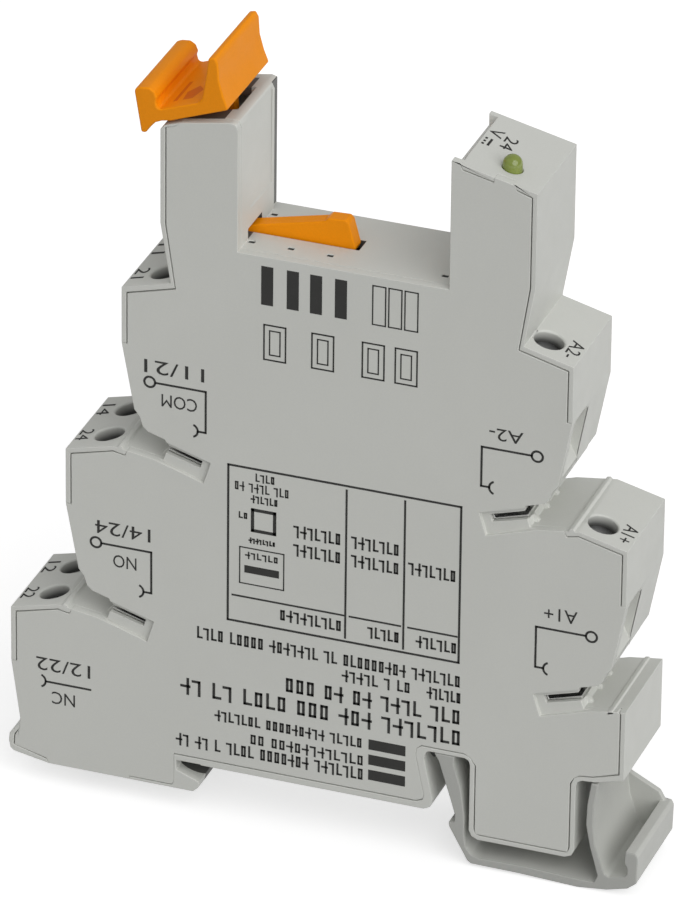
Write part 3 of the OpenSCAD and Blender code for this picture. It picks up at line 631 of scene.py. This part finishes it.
def lever_marks():
    """Shallow bar and arrow on the channel's floor, near the lever's front end."""
    low, high = (-19.9, 87.5), (-15.4, 89.1)
    rise = Vector((high[0] - low[0], 0, high[1] - low[1])).normalized()
    sheet = Print((low[0], 0, low[1]), (0, 1, 0), -rise)
    deep_orange = moulded("lever_mark", (0.72, 0.16, 0.004), specular=0.12, contrast=0.05, grain=0.4)
    sheet.add([(-4.9, -0.75), (0.6, -0.75), (0.6, -1.25), (-4.9, -1.25)], [(0, 1, 2, 3)])
    sheet.add([(-4.9, -2.0), (-2.6, -1.75), (-1.2, -2.9), (-2.6, -3.9), (-4.9, -3.3)], [(0, 1, 2, 3, 4)])
    sheet.finish("lever_marks", "lever", deep_orange, rise=0.002)


lever_marks()

# ---------------------------------------------------------------- floor, light and camera


def lamp(name, direction, strength, size):
    """Sun from a direction; size is its angle in degrees and softens the shadows."""
    light = bpy.data.lights.new(name, "SUN")
    light.energy, light.angle = strength, math.radians(size)
    holder = bpy.data.objects.new(name, light)
    holder.rotation_mode = "QUATERNION"
    holder.rotation_quaternion = Vector(direction).to_track_quat("Z", "Y")
    bpy.context.scene.collection.objects.link(holder)


def studio():
    """Pale floor under the part, a bright sky and one broad soft key light."""
    centre = (cad_low + cad_high) / 2
    mesh = bpy.data.meshes.new("floor")
    side, level = 4, cad_low.z - mm(0.05)
    signs = ((-1, -1), (1, -1), (1, 1), (-1, 1))
    corners = [(centre.x + x * side, centre.y + y * side, level) for x, y in signs]
    mesh.from_pydata(corners, [], [(0, 1, 2, 3)])
    floor = bpy.data.objects.new("floor", mesh)
    bpy.context.scene.collection.objects.link(floor)
    m = Material("floor_paper", Roughness=0.9, Specular_IOR_Level=0.1, Emission_Strength=0.6)
    m.shader.inputs["Emission Color"].default_value = (1, 1, 1, 1)
    m.colour(m.ramp(m.noise(40, 3), (0.3, 0.6), (0.7, 0.62)))
    mesh.materials.append(m.made)
    floor.visible_diffuse = False
    world = bpy.data.worlds.new("studio")
    bpy.context.scene.world = world
    world.use_nodes = True
    tree = world.node_tree
    place, split = tree.nodes.new("ShaderNodeTexCoord"), tree.nodes.new("ShaderNodeSeparateXYZ")
    ramp = tree.nodes.new("ShaderNodeValToRGB")
    spread = tree.nodes.new("ShaderNodeMapRange")
    spread.inputs["From Min"].default_value = -1
    tree.links.new(place.outputs["Generated"], split.inputs["Vector"])
    tree.links.new(split.outputs["Z"], spread.inputs["Value"])
    tree.links.new(spread.outputs["Result"], ramp.inputs["Fac"])
    ramp.color_ramp.elements[0].color = (0.16, 0.16, 0.16, 1)
    ramp.color_ramp.elements[1].color = (0.52, 0.52, 0.52, 1)
    ramp.color_ramp.elements[0].position, ramp.color_ramp.elements[1].position = 0.3, 0.75
    tree.links.new(ramp.outputs["Color"], tree.nodes["Background"].inputs["Color"])
    lamp("key", (0.664, -0.54, 0.515), 1.89, 62)
    bpy.context.scene.view_settings.view_transform = "Standard"


def photo_camera():
    """Camera at the photograph's angle, framing and distance."""
    azimuth, elevation, roll = (math.radians(a) for a in (19.7553, 28.4825, 0.6523))
    distance, drop = 1.097985, 0.001304
    level = math.cos(elevation)
    back = Vector((math.sin(azimuth) * level, -math.cos(azimuth) * level, math.sin(elevation)))
    right = Vector((math.cos(azimuth), math.sin(azimuth), 0))
    up = back.cross(right)
    right, up = (math.cos(roll) * right + math.sin(roll) * up, math.cos(roll) * up - math.sin(roll) * right)
    target = mm(0.4, 0, 44.3) - up * drop
    data = bpy.data.cameras.new("camera")
    data.lens, data.sensor_width = 369.87, 36
    camera = bpy.data.objects.new("camera", data)
    turn = Matrix((right, up, back)).transposed().to_4x4()
    camera.matrix_world = Matrix.Translation(target + back * distance) @ turn
    bpy.context.scene.collection.objects.link(camera)
    bpy.context.scene.camera = camera


studio()
photo_camera()
